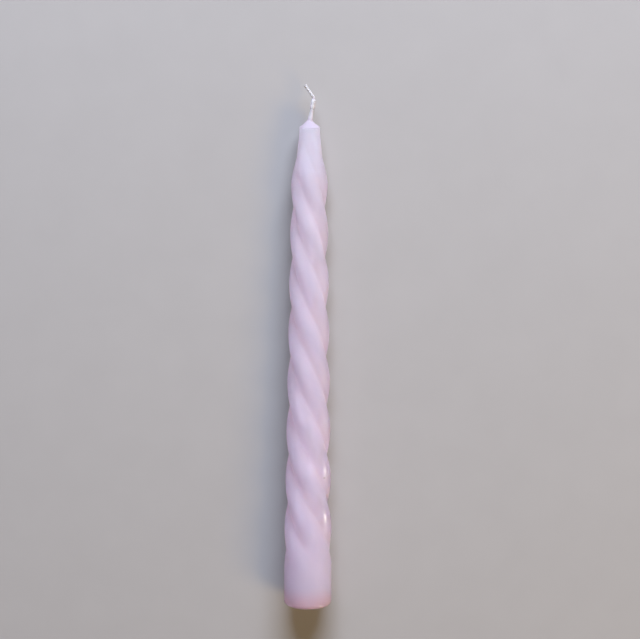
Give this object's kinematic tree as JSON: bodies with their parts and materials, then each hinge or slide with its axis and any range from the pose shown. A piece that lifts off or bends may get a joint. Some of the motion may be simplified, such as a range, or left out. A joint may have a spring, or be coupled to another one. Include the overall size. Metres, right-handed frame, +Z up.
{
  "type": "twisted taper candle",
  "caption": "Tall tapered wax candle with soft twisted lobes, a plain round butt for a candle holder, a low wax cone and a bent plaited cotton wick.",
  "frame": {"origin": "centre of the flat base", "axes": "+Z up the candle from the base to the wick, +X to the right and -Y towards the viewer in the picture"},
  "size_m": [0.022, 0.022, 0.2415],
  "materials": {
    "core_wax": "plain pale wax, cut flat at the base",
    "coat_wax": "smooth glossy dyed wax, lilac pink",
    "wick_cotton": "plaited white cotton, waxed"
  },
  "bodies": {
    "root": {"wax_core": "core_wax", "colour_coat": "coat_wax", "wick_strand_1": "wick_cotton", "wick_strand_2": "wick_cotton", "wick_strand_3": "wick_cotton", "wick_drip": "coat_wax"}
  },
  "joints": []
}
